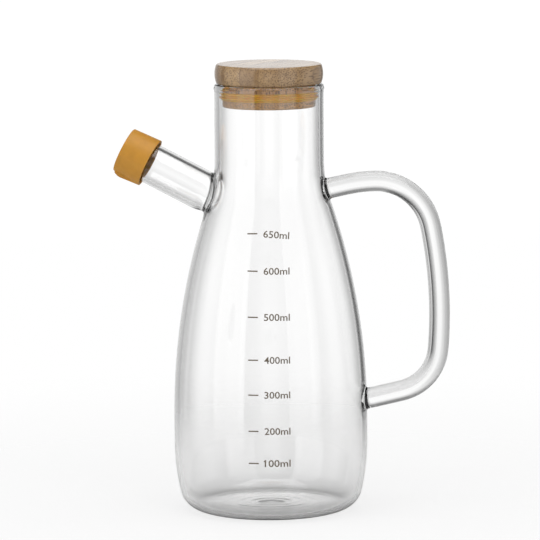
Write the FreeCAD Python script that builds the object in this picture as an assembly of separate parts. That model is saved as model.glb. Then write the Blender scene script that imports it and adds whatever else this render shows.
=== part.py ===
"""Oil bottle of clear glass: a pear-shaped body with a rising pouring tube and a D-shaped rod
handle, closed by a bamboo stopper with a silicone seal and by a silicone cap on the tube.

Frame: millimetres, +Z up, origin on the bottle's axis at the level it stands on, handle
towards +X and pouring tube towards -X.
"""
import FreeCAD, Part

import math
import os

Vector = FreeCAD.Vector

# Glass body, heights from the base plane
body_radius = 46.05        # widest radius
wall = 2.3                 # glass thickness
foot_inset = 13.7          # from the widest radius in to the ring that it stands on
foot_width = 4.0           # width of that flat ring
punt_rise = 0.5            # how far the middle of the base is pushed up
floor_extra = 0.4          # extra glass in the middle of the base
mark_radius = 4.8          # hollow in the middle of the underside, left by the glassmaker's rod
mark_depth = 0.8
side_arc = 104.0           # radius of the slow curve from the heel up to the widest part
side_rise = 32.4           # height where the side becomes upright
shoulder_start = 46.0      # height where the shoulder begins to close in
blend_arc = 60.0           # radius of the hollow curve from the shoulder to the neck

# Neck and lip, taken down from the rim
rim_height = 203.3
neck_radius = 25.9
neck_length = 36.5         # straight stretch with the lip
lip_height = 3.2           # height of the rounded bead at the rim
lip_bulge = 0.3            # how far the bead stands out of the neck

# Pouring tube
spout_radius = 9.7
spout_wall = 2.0
spout_angle = 26.5         # above the horizontal, degrees
spout_drop = 67.25         # from the rim down to where its axis crosses the bottle's axis
spout_reach = 76.3         # along its own axis, from the bottle's axis to its mouth
spout_weld = 2.4           # fillet of the glass around its root
mouth_round = 0.5

# Rod handle, taken from the upper joint round to the lower one
handle_radius = 4.95
handle_drop = 49.9         # from the rim down to the start of the rod
handle_climb = 13.2        # heading of the rod where it leaves the body, degrees
handle_weld = 2.4          # fillets of the glass where the rod joins the body
handle_root = 10.4         # straight stretch from the upper joint
handle_bends = (           # radius and turn of each bend that follows, degrees
    (75.0, 11.0),          # slow crown
    (25.8, 80.7),          # upper corner
    (211.0, 16.0),         # grip
    (23.0, 71.2),          # lower corner
)

# Stopper: a disc on the rim with a plug in the neck
disc_inset = 0.2           # from the outside of the neck in to the edge of the disc
disc_height = 9.3
disc_barrel = 0.9          # how much the edge of the disc swells at mid-height
disc_round = 1.1           # rounding of its two edges
rim_gap = 0.1              # between the disc and the rim
plug_gap = 1.6             # between the plug and the neck
plug_length = 10.8
plug_round = 0.8

# Silicone seal in a groove of the plug
seal_drop = 2.8            # from the disc down to the seal
seal_height = 4.5
seal_depth = 1.0           # how deep its groove is
seal_slack = 0.05          # between the seal and its groove
seal_stand = 0.45          # how far its band stands out of the plug
fin_gap = 0.15             # between the fins and the neck
fin_thickness = 0.7
fin_count = 2

# Silicone cap on the pouring tube
cap_length = 14.0
cap_end_gap = 0.1          # between the cap and the end of the tube
cap_end_thickness = 2.0
skirt_gap = 0.95           # between the tube and the skirt at its open end
skirt_wall = 1.2
cap_taper = 0.8            # how much narrower the closed end is than the open one, in radius
cap_round = 0.5
nozzle_gap = 0.2           # between the cap's inner plug and the bore of the tube
nozzle_length = 4.5
tab_width = 8.0            # thumb tab on the lower side of the cap
tab_stand = 1.3
tab_setback = 4.9          # from the closed end to the tab's highest line
tab_nose = 1.0             # from the closed end to where the tab starts

# Worked out from the values above
neck_start = rim_height - neck_length
foot_radius = body_radius - foot_inset
neck_bore = neck_radius - wall
spout_bore = spout_radius - spout_wall
spout_height = rim_height - spout_drop
spout_direction = Vector(-math.cos(math.radians(spout_angle)), 0, math.sin(math.radians(spout_angle)))
plug_radius = neck_bore - plug_gap
disc_radius = neck_radius - disc_inset
disc_base = rim_height + rim_gap


def point(radius, height):
    return Vector(radius, 0, height)


def polar(centre, radius, degrees):
    angle = math.radians(degrees)
    return centre + point(radius * math.cos(angle), radius * math.sin(angle))


def line(start, end):
    return Part.LineSegment(start, end).toShape()


def arc(centre, radius, start, end):
    """Arc in the XZ plane from one heading to another, in degrees."""
    middle = polar(centre, radius, (start + end) / 2)
    return Part.Arc(polar(centre, radius, start), middle, polar(centre, radius, end)).toShape()


def arc_through(start, middle, end):
    return Part.Arc(start, middle, end).toShape()


def revolved(edges):
    """Solid of revolution with its seam at the back, clear of the tube and the handle."""
    face = Part.Face(Part.Wire(edges))
    solid = face.revolve(Vector(0, 0, 0), Vector(0, 0, 1), 360)
    solid.rotate(Vector(0, 0, 0), Vector(0, 0, 1), 90)
    return solid


def cylinder(radius, start, end):
    run = end - start
    return Part.makeCylinder(radius, run.Length, start, run)


def flank():
    """Centres and radii of the tangent arcs of the body's side, with the headings where they meet."""
    side_centre = point(body_radius - side_arc, side_rise)
    reach = foot_radius - side_centre.x
    heel_arc = (side_arc**2 - side_rise**2 - reach**2) / (2 * (side_arc - side_rise))
    heel_centre = point(foot_radius, heel_arc)
    heel_heading = math.degrees(math.atan2(heel_arc - side_rise, reach))
    inward = neck_radius + blend_arc - body_radius
    climb = neck_start - shoulder_start
    shoulder_arc = (inward**2 + climb**2 - blend_arc**2) / (2 * (blend_arc - inward))
    shoulder_centre = point(body_radius - shoulder_arc, shoulder_start)
    blend_centre = point(neck_radius + blend_arc, neck_start)
    shoulder_heading = math.degrees(math.atan2(climb, blend_centre.x - shoulder_centre.x))
    return {
        "heel": (heel_centre, heel_arc, heel_heading),
        "side": (side_centre, side_arc),
        "shoulder": (shoulder_centre, shoulder_arc, shoulder_heading),
        "blend": (blend_centre, blend_arc),
    }


def side_edges(offset, top):
    """The body's side from the heel up to the neck, set in from the outer face by an offset."""
    arcs = flank()
    heel_centre, heel_radius, heel_heading = arcs["heel"]
    side_centre, side_radius = arcs["side"]
    shoulder_centre, shoulder_radius, shoulder_heading = arcs["shoulder"]
    blend_centre, blend_radius = arcs["blend"]
    radius = body_radius - offset
    neck = neck_radius - offset
    return [
        arc(heel_centre, heel_radius - offset, -90, heel_heading),
        arc(side_centre, side_radius - offset, heel_heading, 0),
        line(point(radius, side_rise), point(radius, shoulder_start)),
        arc(shoulder_centre, shoulder_radius - offset, 0, shoulder_heading),
        arc(blend_centre, blend_radius + offset, 180 + shoulder_heading, 180),
        line(point(neck, neck_start), point(neck, top)),
    ]


def body_blank():
    """The glass as if it were solid, with its slightly hollow base and rounded lip."""
    lip_round = wall / 2
    ring = foot_radius - foot_width
    lip_start = rim_height - lip_height
    lip_end = rim_height - lip_round
    outline = [
        arc_through(
            point(0, punt_rise + mark_depth),
            point(mark_radius * 0.6, punt_rise + mark_depth * 0.64),
            point(mark_radius, punt_rise),
        ),
        arc_through(
            point(mark_radius, punt_rise),
            point((mark_radius + ring) / 2, punt_rise * 0.6),
            point(ring, 0),
        ),
        line(point(ring, 0), point(foot_radius, 0)),
    ]
    outline += side_edges(0, lip_start)
    outline += [
        arc_through(
            point(neck_radius, lip_start),
            point(neck_radius + lip_bulge, (lip_start + lip_end) / 2),
            point(neck_radius, lip_end),
        ),
        arc_through(
            point(neck_radius, lip_end),
            point(neck_radius - lip_round, rim_height),
            point(neck_bore, lip_end),
        ),
        line(point(neck_bore, lip_end), point(0, lip_end)),
        line(point(0, lip_end), point(0, punt_rise + mark_depth)),
    ]
    return revolved(outline)


def cavity():
    """The space inside the bottle."""
    floor = punt_rise + wall + floor_extra
    outline = [
        arc_through(
            point(0, floor),
            point(foot_radius * 0.6, wall + (floor - wall) * 0.55),
            point(foot_radius, wall),
        ),
    ]
    outline += side_edges(wall, rim_height)
    outline += [
        line(point(neck_bore, rim_height), point(0, rim_height)),
        line(point(0, rim_height), point(0, floor)),
    ]
    return revolved(outline)


def radius_at(height):
    """Outer radius of the body on its shoulder or neck."""
    shoulder_centre, shoulder_radius, shoulder_heading = flank()["shoulder"]
    blend_centre, blend_radius = flank()["blend"]
    join = polar(shoulder_centre, shoulder_radius, shoulder_heading).z
    if height <= shoulder_start:
        return body_radius
    if height <= join:
        return shoulder_centre.x + math.sqrt(shoulder_radius**2 - (height - shoulder_start) ** 2)
    if height <= neck_start:
        return blend_centre.x - math.sqrt(blend_radius**2 - (neck_start - height) ** 2)
    return neck_radius


def along_spout(distance):
    return Vector(0, 0, spout_height) + spout_direction * distance


def spout_start():
    """Where along its axis the tube begins: inside the body, clear of the far wall."""
    return neck_bore / 2


def spout_blank():
    tube = cylinder(spout_radius, along_spout(spout_start()), along_spout(spout_reach))
    mouth = [
        edge
        for edge in tube.Edges
        if isinstance(edge.Curve, Part.Circle)
        and (edge.Curve.Center - along_spout(spout_reach)).Length < 0.01
    ]
    return tube.makeFillet(mouth_round, mouth)


def spout_passage():
    return cylinder(spout_bore, along_spout(spout_start()), along_spout(spout_reach + 1))


def handle_blank():
    """The rod, made run by run from the upper joint round to inside the lower one."""
    start_height = rim_height - handle_drop
    heading = math.radians(handle_climb)
    start = point(radius_at(start_height) - wall / 2, start_height)
    direction = point(math.cos(heading), math.sin(heading))
    section = Part.Face(Part.Wire(Part.makeCircle(handle_radius, start, direction)))
    runs = [section.extrude(direction * handle_root)]
    section.translate(direction * handle_root)
    place = start + direction * handle_root
    for radius, turn in handle_bends:
        inward = point(math.sin(heading), -math.cos(heading))
        centre = place + inward * radius
        runs.append(section.revolve(centre, Vector(0, 1, 0), turn))
        section = section.copy()
        section.rotate(centre, Vector(0, 1, 0), turn)
        heading -= math.radians(turn)
        place = centre - point(math.sin(heading), -math.cos(heading)) * radius
    direction = point(math.cos(heading), math.sin(heading))
    inner_end = body_radius - 2 * wall
    runs.append(section.extrude(direction * ((inner_end - place.x) / direction.x)))
    return runs[0].multiFuse(runs[1:]).removeSplitter()


def meeting_edges(whole, first, second):
    """Edges of a fused solid that lie on the skins of both solids it was made from."""
    def on_skin(place, solid):
        return Part.Vertex(place).distToShape(solid.Shells[0])[0] < 0.001

    found = []
    for edge in whole.Edges:
        if edge.Degenerated:
            continue
        places = edge.discretize(Number=5)
        if all(on_skin(place, first) and on_skin(place, second) for place in places):
            found.append(edge)
    return found


def glass_bottle():
    """Body, tube and handle as one piece of glass, hollow from the mouth to the neck."""
    glass = body_blank()
    for limb, weld in ((spout_blank(), spout_weld), (handle_blank(), handle_weld)):
        joined = glass.fuse(limb)
        glass = joined.makeFillet(weld, meeting_edges(joined, glass, limb))
    return glass.cut(cavity()).cut(spout_passage())


def stopper():
    """Bamboo disc and plug in one piece, with the groove for the seal."""
    top = disc_base + disc_height
    corner = disc_radius - disc_barrel
    disc = revolved([
        line(point(0, disc_base), point(corner, disc_base)),
        arc_through(
            point(corner, disc_base), point(disc_radius, disc_base + disc_height / 2), point(corner, top)
        ),
        line(point(corner, top), point(0, top)),
        line(point(0, top), point(0, disc_base)),
    ])
    rims = [edge for edge in disc.Edges if isinstance(edge.Curve, Part.Circle)]
    disc = disc.makeFillet(disc_round, rims)
    plug = cylinder(plug_radius, point(0, disc_base - plug_length), point(0, disc_base))
    foot = [edge for edge in plug.Edges if edge.BoundBox.ZMax < disc_base - plug_length + 0.01]
    plug = plug.makeFillet(plug_round, foot)
    seal_top = disc_base - seal_drop
    groove = cylinder(plug_radius + 1, point(0, seal_top - seal_height), point(0, seal_top))
    core = cylinder(plug_radius - seal_depth, point(0, seal_top - seal_height), point(0, seal_top))
    return disc.fuse(plug.cut(groove.cut(core))).removeSplitter()


def seal_ring():
    """Silicone band in the plug's groove with thin fins that reach for the glass."""
    low = disc_base - seal_drop - seal_height + seal_slack
    high = disc_base - seal_drop - seal_slack
    inner = plug_radius - seal_depth + seal_slack
    band = plug_radius + seal_stand
    ring = cylinder(band, point(0, low), point(0, high))
    step = (high - low) / fin_count
    for index in range(fin_count):
        middle = low + step * (index + 0.5)
        tip = neck_bore - fin_gap
        fin = revolved([
            line(point(inner, middle - fin_thickness), point(band, middle - fin_thickness)),
            line(point(band, middle - fin_thickness), point(tip, middle)),
            line(point(tip, middle), point(tip, middle + fin_thickness / 2)),
            line(point(tip, middle + fin_thickness / 2), point(band, middle + fin_thickness)),
            line(point(band, middle + fin_thickness), point(inner, middle + fin_thickness)),
            line(point(inner, middle + fin_thickness), point(inner, middle - fin_thickness)),
        ])
        ring = ring.fuse(fin)
    return ring.cut(cylinder(inner, point(0, low - 1), point(0, high + 1))).removeSplitter()


def spout_cap():
    """Silicone cap, built upright with its closed end at the top and then laid on the tube."""
    open_radius = spout_radius + skirt_gap + skirt_wall
    closed_radius = open_radius - cap_taper
    inside = cap_length - cap_end_thickness
    nozzle = spout_bore - nozzle_gap
    lean = cap_taper / cap_length
    outer = revolved([
        line(point(0, 0), point(open_radius, 0)),
        line(point(open_radius, 0), point(closed_radius, cap_length)),
        line(point(closed_radius, cap_length), point(0, cap_length)),
        line(point(0, cap_length), point(0, 0)),
    ])
    crown = [edge for edge in outer.Edges if edge.BoundBox.ZMin > cap_length - 0.01]
    outer = outer.makeFillet(cap_round, crown)
    hollow = revolved([
        line(point(0, 0), point(open_radius - skirt_wall, 0)),
        line(point(open_radius - skirt_wall, 0), point(open_radius - skirt_wall - lean * inside, inside)),
        line(point(open_radius - skirt_wall - lean * inside, inside), point(0, inside)),
        line(point(0, inside), point(0, 0)),
    ])
    nozzle_low = inside - nozzle_length
    plug = cylinder(nozzle, point(0, nozzle_low), point(0, inside))
    plug = plug.makeFillet(
        nozzle_gap + mouth_round, [edge for edge in plug.Edges if edge.BoundBox.ZMax < nozzle_low + 0.01]
    )
    cap = outer.cut(hollow).fuse(plug)
    crest_height = cap_length - tab_setback
    crest = open_radius - lean * crest_height + tab_stand
    nose = cap_length - tab_nose
    root = closed_radius - skirt_wall / 2
    collar = revolved([
        line(point(root, 0.2), point(open_radius, 0.2)),
        line(point(open_radius, 0.2), point(crest, crest_height)),
        arc_through(
            point(crest, crest_height),
            point(crest - 0.1, (crest_height + nose) / 2),
            point(closed_radius + tab_stand / 2, nose),
        ),
        line(point(closed_radius + tab_stand / 2, nose), point(root, nose)),
        line(point(root, nose), point(root, 0.2)),
    ])
    sector = Part.makeBox(2 * open_radius, tab_width, cap_length, Vector(0, -tab_width / 2, 0))
    cap = cap.fuse(collar.common(sector)).removeSplitter()
    # The cap's own +Z turns onto the tube's axis, and the tab's +X turns to the lower side.
    cap.rotate(Vector(0, 0, 0), Vector(0, 0, 1), 180)
    cap.rotate(Vector(0, 0, 0), Vector(0, 1, 0), spout_angle - 90)
    cap.translate(along_spout(spout_reach + cap_end_gap - inside))
    return cap


def main():
    os.makedirs("parts", exist_ok=True)
    for make in (glass_bottle, stopper, seal_ring, spout_cap):
        shape = make()
        if shape.ShapeType != "Solid":
            shape = shape.Solids[0] if len(shape.Solids) == 1 else shape
        if shape.ShapeType != "Solid" or not shape.isValid():
            raise ValueError(make.__name__ + " is not one valid solid")
        shape.exportStep(os.path.join("parts", make.__name__ + ".step"))
        box = shape.BoundBox
        print(make.__name__, round(shape.Volume), "mm3", [round(v, 1) for v in (
            box.XMin, box.XMax, box.YMin, box.YMax, box.ZMin, box.ZMax)])


main()
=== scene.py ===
"""Finish, printed scale and studio of a clear glass oil bottle with a bamboo stopper, a silicone
seal and a silicone cap on its pouring tube.

Metres, +Z up, the bottle's axis on Z, handle towards +X and pouring tube towards -X.
"""

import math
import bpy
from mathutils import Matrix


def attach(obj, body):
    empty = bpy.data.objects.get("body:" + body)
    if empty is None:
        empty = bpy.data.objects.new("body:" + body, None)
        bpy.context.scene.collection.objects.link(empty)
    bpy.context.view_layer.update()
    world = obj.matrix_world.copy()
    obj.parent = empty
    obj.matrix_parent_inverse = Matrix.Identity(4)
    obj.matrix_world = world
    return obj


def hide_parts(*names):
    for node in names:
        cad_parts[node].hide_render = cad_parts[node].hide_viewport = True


bl_info = {
    "name": "Glass Oil Bottle",
    "version": (1, 0, 0),
    "blender": (4, 5, 0),
    "location": "3D View > Sidebar > Oil Bottle",
    "description": "Finishes a glass oil bottle and sets up a plain studio round it",
    "category": "Object",
}

from collections import Counter

import bpy
from mathutils import Matrix, Vector

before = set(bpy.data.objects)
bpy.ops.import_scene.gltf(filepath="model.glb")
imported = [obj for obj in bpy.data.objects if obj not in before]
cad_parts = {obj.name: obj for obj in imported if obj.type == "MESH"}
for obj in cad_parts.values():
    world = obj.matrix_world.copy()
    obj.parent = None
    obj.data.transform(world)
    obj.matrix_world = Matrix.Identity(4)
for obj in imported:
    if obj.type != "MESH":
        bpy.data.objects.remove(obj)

MM = 0.001
GLASS, STOPPER, SEAL, CAP = "glass_bottle", "stopper", "seal_ring", "spout_cap"
WAVE = 2 * math.pi / 20       # length of one wave of a wave texture at scale 1


# ---------------------------------------------------------------- helpers

def linear(hex_colour):
    """An sRGB hex colour as linear red, green and blue."""
    channels = (int(hex_colour[i:i + 2], 16) / 255 for i in (1, 3, 5))
    return tuple(c / 12.92 if c <= 0.04045 else ((c + 0.055) / 1.055) ** 2.4 for c in channels)


def add_node(tree, kind, inputs=None, **settings):
    """Adds a node with its settings, and links or sets each of the named inputs."""
    node = tree.nodes.new(kind)
    for name, value in settings.items():
        setattr(node, name, value)
    for key, value in (inputs or {}).items():
        socket = node.inputs[key]
        if isinstance(value, bpy.types.NodeSocket):
            tree.links.new(value, socket)
        else:
            is_colour = socket.type == "RGBA" and len(value) == 3
            socket.default_value = (*value, 1.0) if is_colour else value
    return node


def new_material(name):
    """An empty material and its node tree."""
    material = bpy.data.materials.new(name)
    material.use_nodes = True
    material.node_tree.nodes.clear()
    return material, material.node_tree


def set_stops(ramp, stops):
    """Gives a colour ramp its stops, each a place from 0 to 1 and a level or a colour."""
    elements = ramp.elements
    while len(elements) < len(stops):
        elements.new(0.5)
    for element, (place, level) in zip(elements, stops):
        element.position = place
        element.color = (*level, 1.0) if isinstance(level, tuple) else (level, level, level, 1.0)


def finish_node(name, material):
    """Puts a material on a node of the part."""
    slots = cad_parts[name].material_slots
    if not slots:
        raise RuntimeError(name + " has no material slot")
    for slot in slots:
        slot.material = material


def deselect_all():
    """Leaves edit mode and selects nothing."""
    if bpy.context.object and bpy.context.object.mode != "OBJECT":
        bpy.ops.object.mode_set(mode="OBJECT")
    bpy.ops.object.select_all(action="DESELECT")


def pick(kind, test):
    """Selects just the shown vertices, edges or faces that pass a test, and counts them."""
    bpy.ops.mesh.select_mode(type=kind)
    bpy.ops.mesh.select_all(action="DESELECT")
    bpy.ops.object.mode_set(mode="OBJECT")
    mesh = bpy.context.object.data
    items = {"VERT": mesh.vertices, "EDGE": mesh.edges, "FACE": mesh.polygons}[kind]
    chosen = [item for item in items if not item.hide and test(mesh, item)]
    for item in chosen:
        item.select = True
    bpy.ops.object.mode_set(mode="EDIT")
    return len(chosen)


def ends_of(mesh, edge):
    """The places of the two ends of an edge."""
    return [mesh.vertices[i].co for i in edge.vertices]


def length_of(mesh, edge):
    """The length of an edge."""
    first, second = ends_of(mesh, edge)
    return (first - second).length


def pick_rims(test):
    """Selects the open edges whose middle passes a test, and counts them."""
    bpy.ops.object.mode_set(mode="OBJECT")
    uses = Counter(key for face in bpy.context.object.data.polygons for key in face.edge_keys)
    bpy.ops.object.mode_set(mode="EDIT")
    return pick("EDGE", lambda mesh, edge: (
        uses[edge.key] == 1 and test(sum(ends_of(mesh, edge), Vector()) / 2)))


def closing_order(mesh, edge):
    """Shorter edges first, and of edges equally short to 0.01 mm the one further back and lower,
    so that each run closes up the same ones."""
    both_ends = sum(ends_of(mesh, edge), Vector())
    return round(length_of(mesh, edge), 5), -round(both_ends.y, 5), round(both_ends.z, 5)


def anywhere(place):
    """A test that every place passes."""
    return True


def heading_way(angle):
    """The direction in the XZ plane that is so far above +X."""
    return Vector((math.cos(angle), 0, math.sin(angle)))


# ---------------------------------------------------------------- sizes and colours

class GlassSettings(bpy.types.PropertyGroup):
    columns: bpy.props.IntProperty(
        name="Columns", description="Faces round the body before it is smoothed",
        default=48, min=24, max=96,
    )
    tube_root: bpy.props.FloatProperty(
        name="Tube root", description="Height at which the tube's axis leaves the bottle's axis",
        subtype="DISTANCE", unit="LENGTH", default=136.05 * MM,
    )
    tube_rise: bpy.props.FloatProperty(
        name="Tube rise", description="Slope of the pouring tube above the level",
        subtype="ANGLE", unit="ROTATION", default=math.radians(26.5),
    )
    tube_reach: bpy.props.FloatProperty(
        name="Tube reach", description="Way along the tube's axis from the bottle's axis to the mouth",
        subtype="DISTANCE", unit="LENGTH", default=76.3 * MM,
    )
    tube_radius: bpy.props.FloatProperty(
        name="Tube radius", description="Radius of the outside of the pouring tube",
        subtype="DISTANCE", unit="LENGTH", default=9.7 * MM,
    )
    tube_bore: bpy.props.FloatProperty(
        name="Tube bore", description="Radius of the inside of the pouring tube",
        subtype="DISTANCE", unit="LENGTH", default=7.7 * MM,
    )
    rod_radius: bpy.props.FloatProperty(
        name="Handle radius", description="Radius of the rod that the handle is bent from",
        subtype="DISTANCE", unit="LENGTH", default=4.95 * MM,
    )
    rod_start: bpy.props.FloatVectorProperty(
        name="Handle start", description="Where the rod's axis starts in the wall of the shoulder",
        subtype="XYZ", unit="LENGTH", default=(26.27 * MM, 0.0, 153.4 * MM),
    )
    rod_climb: bpy.props.FloatProperty(
        name="Handle climb", description="Heading of the rod where it leaves the shoulder",
        subtype="ANGLE", unit="ROTATION", default=math.radians(13.2),
    )
    rod_root: bpy.props.FloatProperty(
        name="Handle root", description="Straight stretch before the first bend",
        subtype="DISTANCE", unit="LENGTH", default=10.4 * MM,
    )
    weld: bpy.props.FloatProperty(
        name="Weld", description="Width of the flare of glass where a limb joins the body",
        subtype="DISTANCE", unit="LENGTH", default=2.4 * MM,
    )
    index: bpy.props.FloatProperty(
        name="Refractive index", description="How strongly the glass bends light",
        default=1.473, min=1.0, max=2.0,
    )
    tint: bpy.props.FloatVectorProperty(
        name="Tint", description="Colour that thick glass takes on",
        subtype="COLOR", default=linear("#dfe0dc"), min=0.0, max=1.0,
    )
    density: bpy.props.FloatProperty(
        name="Density", description="How quickly the tint grows with the way through the glass, per metre",
        default=9.0, min=0.0,
    )


class PrintSettings(bpy.types.PropertyGroup):
    colour: bpy.props.FloatVectorProperty(
        name="Ink", description="Colour of the fired-on print",
        subtype="COLOR", default=linear("#675c4e"), min=0.0, max=1.0,
    )
    figure_height: bpy.props.FloatProperty(
        name="Figure height", description="Height of the figures",
        subtype="DISTANCE", unit="LENGTH", default=3.25 * MM,
    )
    label_width: bpy.props.FloatProperty(
        name="Label width", description="Width of a label such as 100ml round the glass",
        subtype="DISTANCE", unit="LENGTH", default=12.1 * MM,
    )
    tick_length: bpy.props.FloatProperty(
        name="Tick length", description="Length of the line beside each label",
        subtype="DISTANCE", unit="LENGTH", default=4.65 * MM,
    )
    tick_width: bpy.props.FloatProperty(
        name="Tick width", description="Thickness of that line",
        subtype="DISTANCE", unit="LENGTH", default=0.6 * MM,
    )
    facing: bpy.props.FloatProperty(
        name="Facing", description="Direction that the print faces, round from the front to the handle",
        subtype="ANGLE", unit="ROTATION", default=math.radians(10.0),
    )


class BambooSettings(bpy.types.PropertyGroup):
    light: bpy.props.FloatVectorProperty(
        name="Light strip", description="Colour of the palest strip",
        subtype="COLOR", default=linear("#c29f70"), min=0.0, max=1.0,
    )
    dark: bpy.props.FloatVectorProperty(
        name="Dark strip", description="Colour of the darkest strip",
        subtype="COLOR", default=linear("#8f6f48"), min=0.0, max=1.0,
    )
    fibre: bpy.props.FloatVectorProperty(
        name="Fibre", description="Colour of the bundles of fibre",
        subtype="COLOR", default=linear("#503620"), min=0.0, max=1.0,
    )
    # Painted light: the plug's colour is painted paler and warmer than the disc's wood, to stand in for the
    # light that reaches it through the glass.
    plug_painted_light: bpy.props.FloatVectorProperty(
        name="Plug", description="Colour of the wood of the plug",
        subtype="COLOR", default=linear("#dba25c"), min=0.0, max=1.0,
    )
    plug_top: bpy.props.FloatProperty(
        name="Plug top", description="Height of the underside of the disc",
        subtype="DISTANCE", unit="LENGTH", default=203.4 * MM,
    )
    strip_width: bpy.props.FloatProperty(
        name="Strip width", description="Width of the glued strips",
        subtype="DISTANCE", unit="LENGTH", default=9.5 * MM,
    )
    grain_turn: bpy.props.FloatProperty(
        name="Grain direction", description="How far the strips are turned from front to back",
        subtype="ANGLE", unit="ROTATION", default=math.radians(15.0),
    )


class SiliconeSettings(bpy.types.PropertyGroup):
    cap: bpy.props.FloatVectorProperty(
        name="Cap", description="Colour of the cap on the pouring tube",
        subtype="COLOR", default=linear("#c48a26"), min=0.0, max=1.0,
    )
    seal: bpy.props.FloatVectorProperty(
        name="Seal", description="Colour of the stopper's seal",
        subtype="COLOR", default=linear("#f0b93c"), min=0.0, max=1.0,
    )


class StudioSettings(bpy.types.PropertyGroup):
    floor_radius: bpy.props.FloatProperty(
        name="Floor radius", description="Radius of the pale floor",
        subtype="DISTANCE", unit="LENGTH", default=0.45,
    )
    light: bpy.props.FloatProperty(
        name="Softbox level", description="Scales the light of all three softboxes",
        default=1.0, min=0.0,
    )
    camera_distance: bpy.props.FloatProperty(
        name="Camera distance", description="From the bottle's axis to the camera, along the floor",
        subtype="DISTANCE", unit="LENGTH", default=2.0,
    )
    camera_height: bpy.props.FloatProperty(
        name="Camera height", description="Height of the camera above the floor",
        subtype="DISTANCE", unit="LENGTH", default=383.06 * MM,
    )
    camera_azimuth: bpy.props.FloatProperty(
        name="Camera azimuth", description="Round from the front to the handle",
        subtype="ANGLE", unit="ROTATION", default=math.radians(10.0),
    )
    camera_pitch: bpy.props.FloatProperty(
        name="Camera pitch", description="How far the camera looks down",
        subtype="ANGLE", unit="ROTATION", default=math.radians(7.65),
    )
    camera_roll: bpy.props.FloatProperty(
        name="Camera roll", description="How far the camera leans",
        subtype="ANGLE", unit="ROTATION", default=math.radians(0.35),
    )
    lens: bpy.props.FloatProperty(
        name="Lens", description="Focal length in millimetres on a 36 mm sensor",
        default=283.3, min=1.0,
    )


# ---------------------------------------------------------------- pieces

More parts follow.
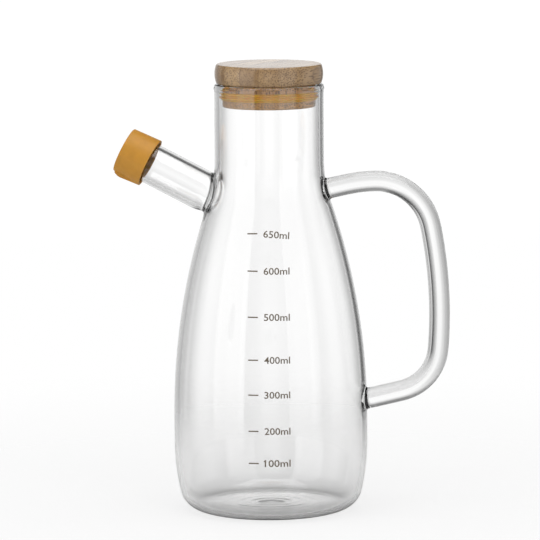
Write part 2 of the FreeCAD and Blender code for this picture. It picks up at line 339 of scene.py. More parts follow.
class OILBOTTLE_OT_glass(bpy.types.Operator):
    """Remake the body, the pouring tube and the handle as one smooth piece of clear glass"""
    bl_idname = "oil_bottle.glass"
    bl_label = "Glass"

    # Radius, turn in degrees and steps of each bend of the rod.
    rod_bends = ((75 * MM, 11.0, 4), (25.8 * MM, 80.7, 12), (211 * MM, 16.0, 14), (23 * MM, 71.2, 10))
    tube_sides, rod_sides = 32, 16
    tiny = 0.001 * MM
    section_gap = 0.2 * MM    # points of the body's section that lie closer become one
    section_run = 12 * MM     # straight runs of the section that are longer are halved
    ring_step = 5 * MM        # from ring to ring along the tube
    wall_reach = 8 * MM       # how far off its plane the skin of the wall still belongs to a joint
    # How many welds a limb's first or last ring stands off the wall, and how many the opening in
    # the wall is wider than the limb.
    tube_root_welds, bore_root_welds, tube_opening_welds = 1.9, 1.1, 0.8
    rod_end_welds, rod_opening_welds = 1.2, 0.85
    wave_length = 6.5 * MM    # of the rings in the floor
    wave_height = 0.05 * MM

    def execute(self, context):
        settings = context.scene.oil_bottle_glass
        piece = self.body(settings)
        wall = bpy.data.objects.new("wall", piece.data.copy())
        context.scene.collection.objects.link(wall)
        bpy.ops.object.mode_set(mode="EDIT")
        self.tube(settings, piece, wall)
        self.rod(settings, piece, wall)
        bpy.ops.mesh.select_all(action="SELECT")
        bpy.ops.mesh.remove_doubles(threshold=self.tiny)
        bpy.ops.mesh.normals_make_consistent(inside=False)
        if pick_rims(anywhere):
            raise RuntimeError("the glass isn't closed")
        bpy.ops.object.mode_set(mode="OBJECT")
        bpy.data.objects.remove(wall)
        self.smooth(piece)
        bpy.ops.object.shade_smooth()
        piece.data.materials.clear()
        piece.data.materials.append(self.glass(settings))
        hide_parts(GLASS)
        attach(piece, "root")
        return {"FINISHED"}

    def smooth(self, piece):
        """Rounds a piece off by one step of subdivision."""
        modifier = piece.modifiers.new("smooth", "SUBSURF")
        modifier.levels = 1
        bpy.ops.object.modifier_apply(modifier=modifier.name)

    def body(self, settings):
        """The wall without its limbs, spun from the glass's own section at the back."""
        deselect_all()
        piece = bpy.data.objects.new("glass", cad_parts[GLASS].data.copy())
        bpy.context.scene.collection.objects.link(piece)
        piece.select_set(True)
        bpy.context.view_layer.objects.active = piece
        bpy.ops.object.mode_set(mode="EDIT")
        bpy.ops.mesh.select_all(action="SELECT")
        bpy.ops.mesh.remove_doubles(threshold=self.tiny)

        def on_section(place):
            return abs(place.x) < self.tiny and place.y > -self.tiny

        pick("EDGE", lambda mesh, edge: not all(map(on_section, ends_of(mesh, edge))))
        bpy.ops.mesh.delete(type="EDGE")
        if pick("VERT", lambda mesh, vertex: not on_section(vertex.co)):
            bpy.ops.mesh.delete(type="VERT")
        # The roundings of the lip need fewer points than they have, and the straight runs more.
        bpy.ops.mesh.select_all(action="SELECT")
        bpy.ops.mesh.remove_doubles(threshold=self.section_gap)
        while pick("EDGE", lambda mesh, edge: length_of(mesh, edge) > self.section_run):
            bpy.ops.mesh.subdivide(number_cuts=1)
        bpy.ops.mesh.select_all(action="SELECT")
        bpy.ops.mesh.spin(steps=settings.columns, angle=2 * math.pi, center=(0, 0, 0), axis=(0, 0, 1))
        bpy.ops.mesh.select_all(action="SELECT")
        bpy.ops.mesh.remove_doubles(threshold=self.tiny)
        bpy.ops.mesh.normals_make_consistent(inside=False)
        # Smoothing draws a ring in by a third of what its chords cut off.
        grow = 1 + (1 - math.cos(2 * math.pi / settings.columns)) / 3
        bpy.ops.transform.resize(value=(grow, grow, 1), center_override=(0, 0, 0))
        bpy.ops.object.mode_set(mode="OBJECT")
        self.smooth(piece)
        return piece

    def open_wall(self, piece, wall, middle, way, radius, sides):
        """Opens the skin of the wall that faces a limb, with a round rim of so many edges."""
        def near(place, reach=radius * 1.6):
            out = place - middle
            along = out.dot(way)
            return abs(along) < self.wall_reach and (out - way * along).length < reach

        # Rims that are open already are hidden, so that they stay as they are.
        if pick_rims(anywhere):
            bpy.ops.mesh.hide(unselected=False)
        pick("FACE", lambda mesh, face: face.normal.dot(way) > 0.5 and near(face.center, radius))
        bpy.ops.mesh.delete(type="FACE")
        edges = pick_rims(near)
        bpy.ops.transform.tosphere(value=1.0)
        while edges > sides:
            # The shortest edges that don't touch each other close up together.
            bpy.ops.object.mode_set(mode="OBJECT")
            mesh = piece.data
            rim = sorted((edge for edge in mesh.edges if edge.select),
                         key=lambda edge: closing_order(mesh, edge))
            closing, used = set(), set()
            for edge in rim[:max(1, (edges - sides + 1) // 2)]:
                if not used & set(edge.vertices):
                    closing.add(edge.index)
                    used |= set(edge.vertices)
            bpy.ops.object.mode_set(mode="EDIT")
            pick("EDGE", lambda mesh, edge: edge.index in closing)
            bpy.ops.mesh.merge(type="COLLAPSE")
            edges = pick_rims(near)
        piece.vertex_groups.new(name="rim")
        bpy.ops.object.vertex_group_assign()
        bpy.ops.mesh.reveal(select=False)
        bpy.ops.object.mode_set(mode="OBJECT")
        wrap = piece.modifiers.new("onto the wall", "SHRINKWRAP")
        wrap.target, wrap.vertex_group = wall, "rim"
        bpy.ops.object.modifier_apply(modifier=wrap.name)
        piece.vertex_groups.clear()
        bpy.ops.object.mode_set(mode="EDIT")

    def ring(self, sides, radius, place, way):
        """Starts a limb with a circle of edges across it, a little wide for the smoothing."""
        bpy.ops.mesh.select_all(action="DESELECT")
        bpy.ops.mesh.primitive_circle_add(
            vertices=sides, radius=radius * (1 + (1 - math.cos(2 * math.pi / sides)) / 4),
            location=place, rotation=(0, math.atan2(way.x, way.z), 0))

    def lengthen(self, step, place=(0, 0, 0), scale=1.0):
        """Extrudes the selected ring by a step and scales it about its new middle."""
        bpy.ops.mesh.extrude_edges_move(TRANSFORM_OT_translate={"value": step})
        bpy.ops.transform.resize(value=(scale, scale, scale), center_override=place)

    def bridge(self, cuts):
        """Joins the two selected rims by a smooth flare."""
        bpy.ops.mesh.bridge_edge_loops(number_cuts=cuts, interpolation="SURFACE", smoothness=1.0)

    def tube(self, settings, piece, wall):
        """Leads the pouring tube from the outer skin to its mouth and back to the inner skin."""
        way = heading_way(math.pi - settings.tube_rise)
        root, outer, bore = Vector((0, 0, settings.tube_root)), settings.tube_radius, settings.tube_bore
        mouth = settings.tube_reach
        outside = wall.ray_cast(root + way * mouth, -way)[1]
        inside = wall.ray_cast(root, way)[1]
        # The joint is oblique, so the tube proper starts well out from where its axis leaves.
        start = (outside - root).dot(way) + settings.weld * self.tube_root_welds
        last = (inside - root).dot(way) + settings.weld * self.bore_root_welds
        # The edge of the mouth: its rim, its corner, and how far the corner's middle is drawn in.
        rim, corner, shave, tuck = 1.4 * MM, 0.5 * MM, 0.1 * MM, 0.15 * MM
        # Rings by their place along the axis and their radius: out along the outside, round the
        # mouth and back down the bore.
        stations = [(start + 2.5 * MM, outer)]
        runs = int((mouth - stations[0][0]) / self.ring_step)
        stations += [(stations[0][0] + self.ring_step * (i + 1), outer) for i in range(runs)]
        stations += [(mouth - rim, outer), (mouth - corner, outer),
                     (mouth - shave, outer - tuck), (mouth, outer - corner),
                     (mouth, (outer + bore) / 2), (mouth, bore + corner),
                     (mouth - shave, bore + tuck), (mouth - corner, bore),
                     (mouth - rim, bore)]
        runs = int((mouth - last) / self.ring_step) - 1
        stations += [(mouth - rim - self.ring_step * (i + 1), bore) for i in range(runs)]
        stations += [(last + 1.8 * MM, bore), (last, bore)]
        opening = outer + settings.weld * self.tube_opening_welds
        self.open_wall(piece, wall, outside, way, opening, self.tube_sides)
        self.ring(self.tube_sides, outer, root + way * start, way)
        before, size = start, outer
        for at, radius in stations:
            self.lengthen(way * (at - before), root + way * at, radius / size)
            if before == start:
                pick_rims(lambda place: (place - root).dot(way) < start + 0.5 * MM)
                self.bridge(3)
                pick_rims(anywhere)
            before, size = at, radius
        self.open_wall(piece, wall, inside, -way, bore + 0.5 * MM, self.tube_sides)
        pick_rims(anywhere)
        self.bridge(1)

    def rod(self, settings, piece, wall):
        """Leads the solid rod of the handle from the shoulder through its bends to the body."""
        start, radius, sides = Vector(settings.rod_start), settings.rod_radius, self.rod_sides
        heading, opening = settings.rod_climb, radius + settings.weld * self.rod_opening_welds
        way = heading_way(heading)
        outside = wall.ray_cast(start + way * settings.rod_root * 2, -way)[1]
        first = (outside - start).dot(way) + settings.weld
        rest = settings.rod_root - first
        self.open_wall(piece, wall, outside, way, opening, sides)
        self.ring(sides, radius, start + way * first, way)
        self.lengthen(way * rest * 0.3)
        pick_rims(lambda place: (place - start).dot(way) < first + 0.5 * MM)
        self.bridge(2)
        pick_rims(anywhere)
        for share in (0.35, 0.35):
            self.lengthen(way * rest * share)
        place = start + way * settings.rod_root
        for bend, turn, steps in self.rod_bends:
            centre = place - heading_way(heading + math.pi / 2) * bend
            bpy.ops.mesh.spin(steps=steps, angle=math.radians(turn), center=centre, axis=(0, -1, 0))
            heading -= math.radians(turn)
            place = centre + heading_way(heading + math.pi / 2) * bend
        way = heading_way(heading)
        landing = wall.ray_cast(place, way)[1]
        rest = (landing - place).dot(way) - settings.weld * self.rod_end_welds
        for share in (0.375, 0.375, 0.25):
            self.lengthen(way * rest * share)
        self.open_wall(piece, wall, landing, -way, opening, sides)
        pick_rims(anywhere)
        self.bridge(2)

    def glass(self, settings):
        """Borosilicate glass, blown and lamp-worked: clear, with fire-polished faces."""
        material, tree = new_material("Borosilicate glass")
        surface = add_node(tree, "ShaderNodeBsdfPrincipled", {
            "Base Color": (1.0, 1.0, 1.0),
            "Roughness": 0.0,
            "Transmission Weight": 1.0,
        })
        surface.inputs["IOR"].default_value = settings.index
        # Rings left in the floor by the spinning of the hot glass, which die out towards the
        # sides. The underside, below 2 mm, has none.
        place = add_node(tree, "ShaderNodeTexCoord").outputs["Object"]
        rings = add_node(tree, "ShaderNodeTexWave", {
            "Vector": place, "Scale": WAVE / self.wave_length, "Distortion": 3.0, "Detail": 2.0,
            "Detail Scale": 0.6}, wave_type="RINGS", rings_direction="Z").outputs["Color"]
        height = add_node(tree, "ShaderNodeSeparateXYZ", {0: place}).outputs["Z"]
        inner = add_node(tree, "ShaderNodeMath", {0: height, 1: 2.0 * MM},
                         operation="GREATER_THAN").outputs[0]
        reach = add_node(tree, "ShaderNodeVectorMath", {0: place}, operation="LENGTH").outputs["Value"]
        spread = add_node(tree, "ShaderNodeMapRange", {
            0: reach, 1: 12 * MM, 2: 32 * MM, 3: 1.0, 4: 0.0}).outputs[0]
        floor = add_node(tree, "ShaderNodeMath", {0: inner, 1: spread}, operation="MULTIPLY").outputs[0]
        ripple = add_node(tree, "ShaderNodeMath", {0: rings, 1: floor}, operation="MULTIPLY").outputs[0]
        relief = add_node(tree, "ShaderNodeBump", {
            "Height": ripple, "Strength": 1.0, "Distance": self.wave_height}).outputs[0]
        tree.links.new(relief, surface.inputs["Normal"])
        inside = add_node(tree, "ShaderNodeVolumeAbsorption")
        inside.inputs["Color"].default_value = (*settings.tint, 1.0)
        inside.inputs["Density"].default_value = settings.density
        add_node(tree, "ShaderNodeOutputMaterial", {
            "Surface": surface.outputs["BSDF"], "Volume": inside.outputs["Volume"],
        })
        return material


class OILBOTTLE_OT_stopper(bpy.types.Operator):
    """Finish the stopper as laminated bamboo"""
    bl_idname = "oil_bottle.stopper"
    bl_label = "Bamboo stopper"

    strip_shift = 20.35                           # strips, which sets where the seams lie
    tone_size = (3 * MM, 30 * MM, 4 * MM)         # slow changes of tone along a strip
    # Bundles of fibre stand about 0.7 mm apart here, more than the real 0.5, so that they show.
    bundle_size = (0.7 * MM, 26 * MM, 0.65 * MM)
    plug_blend = 0.5 * MM                         # height over which the disc's wood turns to the plug's paler colour, which is painted light
    relief_depth = 0.08 * MM

    def execute(self, context):
        finish_node(STOPPER, self.bamboo(context.scene.oil_bottle_bamboo))
        return {"FINISHED"}

    def bamboo(self, settings):
        """Laminated bamboo, turned and sanded: strips full of dark bundles of fibre that run from
        front to back, so they are dots on the front and long streaks on the top and the flanks."""
        material, tree = new_material("Laminated bamboo")
        place = add_node(tree, "ShaderNodeTexCoord").outputs["Object"]
        grain = add_node(tree, "ShaderNodeMapping", {
            "Vector": place, "Rotation": (0.0, 0.0, settings.grain_turn),
        }).outputs[0]
        sides = add_node(tree, "ShaderNodeSeparateXYZ", {0: grain}).outputs
        # Which strip, and how far across it.
        strips = add_node(tree, "ShaderNodeMath", {
            0: sides["X"], 1: 1 / settings.strip_width, 2: self.strip_shift,
        }, operation="MULTIPLY_ADD").outputs[0]
        strip = add_node(tree, "ShaderNodeMath", {0: strips}, operation="FLOOR").outputs[0]
        across = add_node(tree, "ShaderNodeMath", {0: strips}, operation="FRACT").outputs[0]
        luck = add_node(tree, "ShaderNodeTexWhiteNoise", {"W": strip}, noise_dimensions="1D").outputs
        ground = self.ground(settings, tree, grain, sides["Z"], luck["Value"])
        bundle = self.bundles(tree, grain, luck["Value"])
        strength = add_node(tree, "ShaderNodeMath", {0: bundle, 1: 0.62}, operation="MULTIPLY").outputs[0]
        fibred = add_node(tree, "ShaderNodeMix", {
            0: strength, 6: ground, 7: tuple(settings.fibre)}, data_type="RGBA").outputs[2]
        wood = add_node(tree, "ShaderNodeMix", {
            0: self.glue(tree, across), 6: fibred, 7: tuple(settings.fibre),
        }, data_type="RGBA").outputs[2]
        rough = add_node(tree, "ShaderNodeMapRange", {0: bundle, 1: 0.0, 2: 1.0, 3: 0.36, 4: 0.55}).outputs[0]
        relief = add_node(tree, "ShaderNodeBump", {
            "Height": bundle, "Strength": 0.35, "Distance": self.relief_depth}, invert=True).outputs[0]
        # The coat gives the sheen of the sanded skin.
        surface = add_node(tree, "ShaderNodeBsdfPrincipled", {
            "Base Color": wood, "Roughness": rough, "Normal": relief,
            "Coat Weight": 0.9, "Coat Roughness": 0.18})
        add_node(tree, "ShaderNodeOutputMaterial", {"Surface": surface.outputs["BSDF"]})
        return material

    def ground(self, settings, tree, grain, height, luck):
        """The colour of the wood between the bundles, with painted light on the plug: a paler, warmer colour
        that stands in for the light reaching it through the glass.
        """
        drawn = add_node(tree, "ShaderNodeMapping", {
            "Vector": grain, "Scale": tuple(1 / side for side in self.tone_size)}).outputs[0]
        tone = add_node(tree, "ShaderNodeTexNoise", {
            "Vector": drawn, "Scale": 1.0, "Detail": 3.0}, noise_dimensions="3D").outputs[0]
        mood = add_node(tree, "ShaderNodeMath", {
            0: luck, 1: 0.6, 2: tone}, operation="MULTIPLY_ADD").outputs[0]
        pale = add_node(tree, "ShaderNodeMapRange", {
            0: mood, 1: 0.4, 2: 1.25, 3: 0.0, 4: 1.0}).outputs[0]
        # Painted light: the plug is painted a paler, warmer colour than the disc, to stand in for the light
        # that reaches it through the glass.
        plug_painted_light = add_node(tree, "ShaderNodeMapRange", {
            0: height, 1: settings.plug_top, 2: settings.plug_top - self.plug_blend, 3: 0.0, 4: 0.8,
        }).outputs[0]
        disc = add_node(tree, "ShaderNodeMix", {
            0: pale, 6: tuple(settings.dark), 7: tuple(settings.light)}, data_type="RGBA").outputs[2]
        return add_node(tree, "ShaderNodeMix", {
            0: plug_painted_light, 6: disc, 7: tuple(settings.plug_painted_light)}, data_type="RGBA").outputs[2]

    def bundles(self, tree, grain, luck):
        """Where the bundles of fibre are, 1 in the middle of each and 0 outside."""
        stretched = add_node(tree, "ShaderNodeMapping", {
            "Vector": grain, "Scale": tuple(1 / side for side in self.bundle_size)}).outputs[0]
        cells = add_node(tree, "ShaderNodeTexVoronoi", {
            "Vector": stretched, "Scale": 1.0, "Randomness": 0.75}).outputs
        size = add_node(tree, "ShaderNodeMath", {
            0: luck, 1: 0.08, 2: 0.26}, operation="MULTIPLY_ADD").outputs[0]
        rim = add_node(tree, "ShaderNodeMath", {0: size, 1: 0.22}, operation="ADD").outputs[0]
        return add_node(tree, "ShaderNodeMapRange", {
            0: cells["Distance"], 1: size, 2: rim, 3: 1.0, 4: 0.0}).outputs[0]

    def glue(self, tree, across):
        """A thin dark line of glue between two strips."""
        edge = add_node(tree, "ShaderNodeMath", {0: across, 1: 0.5}, operation="SUBTRACT").outputs[0]
        edge = add_node(tree, "ShaderNodeMath", {0: edge}, operation="ABSOLUTE").outputs[0]
        return add_node(tree, "ShaderNodeMapRange", {
            0: edge, 1: 0.475, 2: 0.5, 3: 0.0, 4: 0.45}).outputs[0]


class OILBOTTLE_OT_silicone(bpy.types.Operator):
    """Finish the stopper's seal and the cap of the pouring tube as moulded silicone"""
    bl_idname = "oil_bottle.silicone"
    bl_label = "Silicone seal and cap"

    cloud_size, grit_size = 4 * MM, 0.3 * MM
    grit_depth = 0.03 * MM
    light_reach = 1.5 * MM    # how far light goes in before it comes out again

    def execute(self, context):
        settings = context.scene.oil_bottle_silicone
        # The cap is full of pigment and matt. The seal is smoother, and light goes into it.
        finish_node(CAP, self.silicone("Moulded silicone", settings.cap, 0.52, 0.12))
        finish_node(SEAL, self.silicone("Moulded translucent silicone", settings.seal, 0.34, 0.5))
        return {"FINISHED"}

    def silicone(self, name, colour, roughness, depth):
        """Silicone from a blasted mould: faint clouds of pigment, and the grit of the mould."""
        material, tree = new_material(name)
        place = add_node(tree, "ShaderNodeTexCoord").outputs["Object"]
        cloud = add_node(tree, "ShaderNodeTexNoise", {
            "Vector": place, "Scale": 1 / self.cloud_size, "Detail": 2.0}).outputs[0]
        grit = add_node(tree, "ShaderNodeTexNoise", {
            "Vector": place, "Scale": 1 / self.grit_size, "Detail": 1.0}).outputs[0]
        deep = tuple(channel * 0.86 for channel in colour)
        pale = tuple(min(1.0, channel * 1.12) for channel in colour)
        tone = add_node(tree, "ShaderNodeMix", {
            0: cloud, 6: deep, 7: pale}, data_type="RGBA").outputs[2]
        matt = add_node(tree, "ShaderNodeMapRange", {
            0: grit, 1: 0.3, 2: 0.7, 3: roughness - 0.07, 4: roughness + 0.07}).outputs[0]
        relief = add_node(tree, "ShaderNodeBump", {
            "Height": grit, "Strength": 0.25, "Distance": self.grit_depth}).outputs[0]
        surface = add_node(tree, "ShaderNodeBsdfPrincipled", {
            "Base Color": tone, "Roughness": matt, "Normal": relief,
            "Subsurface Weight": depth, "Subsurface Radius": (1.0, 0.45, 0.12),
            "Subsurface Scale": self.light_reach})
        add_node(tree, "ShaderNodeOutputMaterial", {"Surface": surface.outputs["BSDF"]})
        return material


class OILBOTTLE_OT_printed_scale(bpy.types.Operator):
    """Print the volume marks on the front of the body"""
    bl_idname = "oil_bottle.printed_scale"
    bl_label = "Printed scale"

    # Volume in millilitres, height of the mark, and how far its label and its line lean, degrees.
    marks = ((100, 29.4, 0.0, 0.0), (200, 44.6, 0.0, 0.0), (300, 61.6, 0.3, 0.0), (400, 77.9, 0.0, 0.4),
             (500, 97.7, -0.4, 0.0), (600, 118.8, 0.0, -0.3), (650, 135.8, -4.6, 1.7))
    stand_off = 60 * MM       # where the flat print starts, in front of the glass
    lift = 0.02 * MM          # between the glass and the ink
    thickness = 0.03 * MM
    label_left = -3.0 * MM
    tick_right = -5.8 * MM
    boldness = 0.011          # how far the outlines of the plain font are pushed out
    # The flag of the 1, which the plain font lacks: its middle beside the axis, and above the mark
    # in millimetres like the marks, its length and width, and its slope in degrees.
    flag_aside, flag_above, flag_length, flag_width = -3.05 * MM, 1.22, 1.0 * MM, 0.42 * MM
    flag_slope = 38.0
    patch_size = 0.35 * MM    # of the unevenness of the screen

    def execute(self, context):
        settings = context.scene.oil_bottle_print
        glass = bpy.data.objects.get("glass")
        if glass is None:
            raise RuntimeError("the scale is printed on the glass, so the glass has to be blown first")
        pieces = []
        for volume, height, label_lean, tick_lean in self.marks:
            pieces.append(self.label(settings, f"{volume}ml", height * MM, label_lean))
            pieces.append(self.stroke(
                self.tick_right - settings.tick_length / 2, height * MM,
                settings.tick_length, settings.tick_width, tick_lean))
            if volume == 100:
                pieces.append(self.stroke(
                    self.flag_aside, (height + self.flag_above) * MM,
                    self.flag_length, self.flag_width, self.flag_slope))
        deselect_all()
        for piece in pieces:
            piece.select_set(True)
        context.view_layer.objects.active = pieces[0]
        bpy.ops.object.join()
        scale = context.object
        scale.name = scale.data.name = "printed_scale"
        bpy.ops.object.transform_apply(location=True, rotation=True, scale=True)
        wrap = scale.modifiers.new("onto the glass", "SHRINKWRAP")
        wrap.target = glass
        wrap.wrap_method = "PROJECT"
        wrap.use_project_y = True
        wrap.use_positive_direction, wrap.use_negative_direction = True, False
        wrap.wrap_mode = "ABOVE_SURFACE"
        wrap.offset = self.lift
        film = scale.modifiers.new("film of ink", "SOLIDIFY")
        film.thickness = self.thickness
        film.offset = 1.0
        for modifier in ("onto the glass", "film of ink"):
            bpy.ops.object.modifier_apply(modifier=modifier)
        scale.rotation_euler.z = settings.facing
        bpy.ops.object.transform_apply(location=False, rotation=True, scale=False)
        scale.data.materials.clear()
        scale.data.materials.append(self.ink(settings))
        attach(scale, "root")
        return {"FINISHED"}

    def label(self, settings, words, height, lean):
        """Words as a flat mesh in front of the glass, fitted to their real width and height."""
        deselect_all()
        bpy.ops.object.text_add(rotation=(math.pi / 2, 0, 0))
        label = bpy.context.object
        label.data.body = words
        label.data.resolution_u = 3
        label.data.offset = self.boldness
        bpy.ops.object.convert(target="MESH")
        bpy.ops.object.mode_set(mode="EDIT")
        bpy.ops.mesh.select_all(action="SELECT")
        bpy.ops.mesh.remove_doubles(threshold=0.0005)
        bpy.ops.mesh.quads_convert_to_tris()
        bpy.ops.mesh.normals_make_consistent(inside=False)
        pick("FACE", lambda mesh, face: face.normal.z < 0)
        bpy.ops.mesh.flip_normals()
        bpy.ops.object.mode_set(mode="OBJECT")
        corners = [Vector(corner) for corner in label.bound_box]
        low = Vector(map(min, *corners))
        high = Vector(map(max, *corners))
        # The first figure, which has no part above or below the others, gives the height.
        digit = [v.co.y for v in label.data.vertices if v.co.x < low.x + (high.x - low.x) * 0.15]
        tall = max(digit) - min(digit)
        label.data.transform(Matrix.Translation((-low.x, -(max(digit) + min(digit)) / 2, 0)))
        label.data.transform(Matrix.Diagonal((
            settings.label_width / (high.x - low.x), settings.figure_height / tall, 1, 1)))
        label.data.transform(Matrix.Rotation(math.radians(lean), 4, "Z"))
        label.location = (self.label_left, -self.stand_off, height)
        return label

    def stroke(self, aside, height, length, width, lean):
        """A flat straight line in front of the glass."""
        deselect_all()
        bpy.ops.mesh.primitive_plane_add(size=1.0, rotation=(math.pi / 2, 0, 0))
        stroke = bpy.context.object
        bpy.ops.object.mode_set(mode="EDIT")
        bpy.ops.mesh.subdivide(number_cuts=5)
        bpy.ops.object.mode_set(mode="OBJECT")
        stroke.data.transform(Matrix.Diagonal((length, width, 1, 1)))
        stroke.data.transform(Matrix.Rotation(math.radians(lean), 4, "Z"))
        stroke.location = (aside, -self.stand_off, height)
        return stroke

    def ink(self, settings):
        """Ceramic ink, screen printed and fired on: matt, and paler where it lies thin."""
        material, tree = new_material("Fired ceramic ink")
        place = add_node(tree, "ShaderNodeTexCoord").outputs["Object"]
        patch = add_node(tree, "ShaderNodeTexNoise", {
            "Vector": place, "Scale": 1 / self.patch_size, "Detail": 2.0}).outputs[0]
        thin = add_node(tree, "ShaderNodeMapRange", {0: patch, 1: 0.5, 2: 0.75}).outputs[0]
        tone = add_node(tree, "ShaderNodeMix", {
            0: thin, 6: tuple(settings.colour), 7: tuple(channel * 1.7 for channel in settings.colour),
        }, data_type="RGBA").outputs[2]
        rough = add_node(tree, "ShaderNodeMapRange", {
            0: patch, 1: 0.3, 2: 0.7, 3: 0.45, 4: 0.65}).outputs[0]
        surface = add_node(tree, "ShaderNodeBsdfPrincipled", {"Base Color": tone, "Roughness": rough})
        add_node(tree, "ShaderNodeOutputMaterial", {"Surface": surface.outputs["BSDF"]})
        return material


# ---------------------------------------------------------------- studio

class OILBOTTLE_OT_studio(bpy.types.Operator):
    """Set up the floor, the lights, the surroundings and the camera"""
    bl_idname = "oil_bottle.studio"
    bl_label = "Studio"

    # Name, degrees round from the front and above the level, width, height and level of each.
    softboxes = (("softbox_left", -42.0, 8.0, 0.9, 2.0, 0.95), ("softbox_right", 52.0, 8.0, 0.9, 2.0, 0.75),
                 ("softbox_top", 5.0, 80.0, 1.2, 1.2, 2.3))
    lamp_distance, lamp_aim = 1.2, 0.1    # from the aim, and the height of the aim
    floor_drop = 0.2 * MM                 # below the bottle, so that the two never share a face
    # Level of the room by degrees from the middle of a white card, round to the next card. The
    # dark slit from 24 to 33 degrees draws the dark lines along the edges of the glass.
    aside = (
        (0, 1.04), (8, 1.04), (13, 0.68), (17, 0.5), (24, 0.22), (26, 0.07), (31, 0.08), (33.5, 0.5),
        (37.5, 0.8), (40, 0.42), (53, 0.47), (60, 0.53), (66, 0.6), (79, 0.80), (86, 1.04), (90, 1.04))
    # Share of that level by degrees above the horizon.
    aloft = (
        (-90, 0.3), (-46, 0.34), (-32, 0.57), (-24, 0.76), (-16, 0.82), (-10, 0.88), (-7, 0.97),
        (-4, 1.0), (9, 1.0), (14, 0.8), (19, 0.6), (25, 0.3), (45, 0.3), (90, 1.0))

    def execute(self, context):
        settings = context.scene.oil_bottle_studio
        self.floor(settings)
        self.surroundings(context.scene, settings)
        self.lamps(settings)
        self.camera(context.scene, settings)
        context.scene.view_settings.view_transform = "Standard"
        return {"FINISHED"}

    def floor(self, settings):
        """Matt white paper that keeps the bottle's shadow and fades into the background."""
        deselect_all()
        bpy.ops.mesh.primitive_circle_add(
            vertices=96, radius=settings.floor_radius, fill_type="NGON",
            location=(0, 0, -self.floor_drop))
        floor = bpy.context.object
        floor.name = "floor"
        material, tree = new_material("Matt paper")
        path = add_node(tree, "ShaderNodeLightPath")
        paper = add_node(tree, "ShaderNodeBsdfDiffuse", {"Color": linear("#f2f2f2")})
        glow = add_node(tree, "ShaderNodeEmission", {"Color": (1.0, 1.0, 1.0), "Strength": 1.0})
        share = add_node(tree, "ShaderNodeMath", {0: path.outputs["Is Camera Ray"], 1: 0.65, 2: 0.15},
                         operation="MULTIPLY_ADD")
        mix = add_node(tree, "ShaderNodeMixShader", {
            0: share.outputs[0], 1: paper.outputs[0], 2: glow.outputs[0]})
        # The paper fades out all round, so that no edge of it shows.
        place = add_node(tree, "ShaderNodeTexCoord").outputs["Object"]
        reach = add_node(tree, "ShaderNodeVectorMath", {0: place}, operation="LENGTH").outputs["Value"]
        fade = add_node(tree, "ShaderNodeMapRange", {
            0: reach, 1: settings.floor_radius * 0.15, 2: settings.floor_radius * 0.98},
            interpolation_type="SMOOTHSTEP").outputs[0]
        clear = add_node(tree, "ShaderNodeBsdfTransparent").outputs[0]
        faded = add_node(tree, "ShaderNodeMixShader", {0: fade, 1: mix.outputs[0], 2: clear})
        add_node(tree, "ShaderNodeOutputMaterial", {"Surface": faded.outputs[0]})
        floor.data.materials.append(material)

    def surroundings(self, scene, settings):
        """A room with a white card on each of its four sides, dimmer between them, and plain
        white to the camera."""
        world = bpy.data.worlds.new("Studio")
        scene.world = world
        world.use_nodes = True
        tree = world.node_tree
        tree.nodes.clear()
        direction = add_node(tree, "ShaderNodeTexCoord").outputs["Generated"]
        parts = add_node(tree, "ShaderNodeSeparateXYZ", {0: direction}).outputs
        azimuth = add_node(tree, "ShaderNodeMath", {0: parts["X"], 1: parts["Y"]}, operation="ARCTAN2")
        # Degrees to the right of the middle of the nearest card; the cards stand a quarter turn apart.
        offset = add_node(tree, "ShaderNodeMath", {
            0: azimuth.outputs[0], 1: 2 / math.pi, 2: 4 + settings.camera_azimuth * 2 / math.pi,
        }, operation="MULTIPLY_ADD")
        turn = add_node(tree, "ShaderNodeMath", {0: offset.outputs[0]}, operation="FRACT")
        aside = add_node(tree, "ShaderNodeValToRGB", {0: turn.outputs[0]})
        set_stops(aside.color_ramp, [(degrees / 90, level) for degrees, level in self.aside])
        height = add_node(tree, "ShaderNodeMath", {0: parts["Z"]}, operation="ARCSINE")
        rise = add_node(tree, "ShaderNodeMapRange", {
            0: height.outputs[0], 1: -math.pi / 2, 2: math.pi / 2, 3: 0.0, 4: 1.0})
        aloft = add_node(tree, "ShaderNodeValToRGB", {0: rise.outputs[0]})
        set_stops(aloft.color_ramp, [((degrees + 90) / 180, level) for degrees, level in self.aloft])
        level = add_node(tree, "ShaderNodeMath", {0: aside.outputs[0], 1: aloft.outputs[0]},
                         operation="MULTIPLY")
        path = add_node(tree, "ShaderNodeLightPath")
        shown = add_node(tree, "ShaderNodeMath", {0: level.outputs[0], 1: path.outputs["Is Camera Ray"]},
                         operation="MAXIMUM")
        glow = add_node(tree, "ShaderNodeBackground", {"Color": (1.0, 1.0, 1.0), 1: shown.outputs[0]})
        add_node(tree, "ShaderNodeOutputWorld", {"Surface": glow.outputs[0]})

    def lamps(self, settings):
        """Two tall softboxes in front, one each side of the camera, and one overhead."""
        for name, azimuth, elevation, width, height, level in self.softboxes:
            turn, tilt = math.radians(azimuth), math.radians(elevation)
            back = Vector((math.sin(turn) * math.cos(tilt), -math.cos(turn) * math.cos(tilt),
                           math.sin(tilt)))
            lamp = bpy.data.lights.new(name, "AREA")
            lamp.shape = "RECTANGLE"
            lamp.size, lamp.size_y = width, height
            lamp.energy = settings.light * level * width * height * math.pi
            holder = bpy.data.objects.new(name, lamp)
            holder.location = Vector((0, 0, self.lamp_aim)) + back * self.lamp_distance
            holder.rotation_mode = "QUATERNION"
            holder.rotation_quaternion = back.to_track_quat("Z", "Y")
            holder.visible_camera = False
            bpy.context.scene.collection.objects.link(holder)

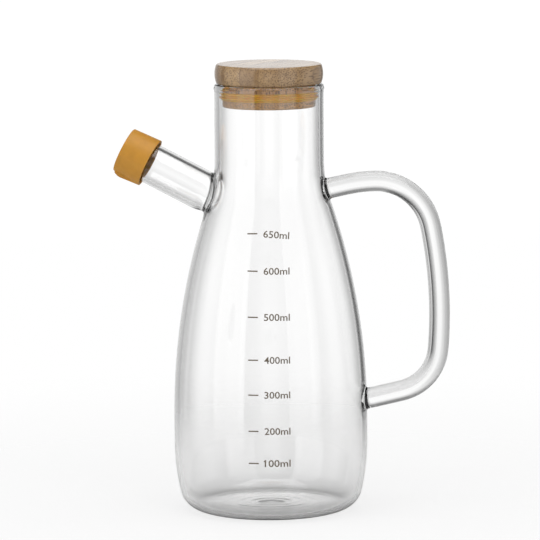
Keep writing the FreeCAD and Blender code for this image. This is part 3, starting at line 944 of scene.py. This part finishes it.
    def camera(self, scene, settings):
        """A long lens in front, a little above the bottle and round towards its handle."""
        azimuth = settings.camera_azimuth
        data = bpy.data.cameras.new("camera")
        data.lens = settings.lens
        data.sensor_width = 36.0
        data.clip_start, data.clip_end = 0.1, 20.0
        camera = bpy.data.objects.new("camera", data)
        scene.collection.objects.link(camera)
        place = Vector((math.sin(azimuth), -math.cos(azimuth), 0)) * settings.camera_distance
        place.z = settings.camera_height
        turn = Matrix.Rotation(azimuth, 4, "Z")
        tilt = Matrix.Rotation(math.pi / 2 - settings.camera_pitch, 4, "X")
        lean = Matrix.Rotation(-settings.camera_roll, 4, "Z")
        camera.matrix_world = Matrix.Translation(place) @ turn @ tilt @ lean
        scene.camera = camera


class OILBOTTLE_PT_panel(bpy.types.Panel):
    """The steps that finish the bottle"""
    bl_idname = "OILBOTTLE_PT_panel"
    bl_label = "Oil Bottle"
    bl_space_type = "VIEW_3D"
    bl_region_type = "UI"
    bl_category = "Oil Bottle"

    def draw(self, context):
        for operator in OPERATORS:
            self.layout.operator(operator.bl_idname)


SETTINGS = {
    "oil_bottle_glass": GlassSettings,
    "oil_bottle_print": PrintSettings,
    "oil_bottle_bamboo": BambooSettings,
    "oil_bottle_silicone": SiliconeSettings,
    "oil_bottle_studio": StudioSettings,
}
OPERATORS = (
    OILBOTTLE_OT_glass,
    OILBOTTLE_OT_printed_scale,
    OILBOTTLE_OT_stopper,
    OILBOTTLE_OT_silicone,
    OILBOTTLE_OT_studio,
)


def register():
    for name, group in SETTINGS.items():
        bpy.utils.register_class(group)
        setattr(bpy.types.Scene, name, bpy.props.PointerProperty(type=group))
    for item in (*OPERATORS, OILBOTTLE_PT_panel):
        bpy.utils.register_class(item)


def unregister():
    for item in (OILBOTTLE_PT_panel, *reversed(OPERATORS)):
        bpy.utils.unregister_class(item)
    for name, group in SETTINGS.items():
        delattr(bpy.types.Scene, name)
        bpy.utils.unregister_class(group)


def main():
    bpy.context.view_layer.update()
    register()
    for operator in OPERATORS:
        group, name = operator.bl_idname.split(".")
        getattr(getattr(bpy.ops, group), name)()


if __name__ == "__main__":
    main()
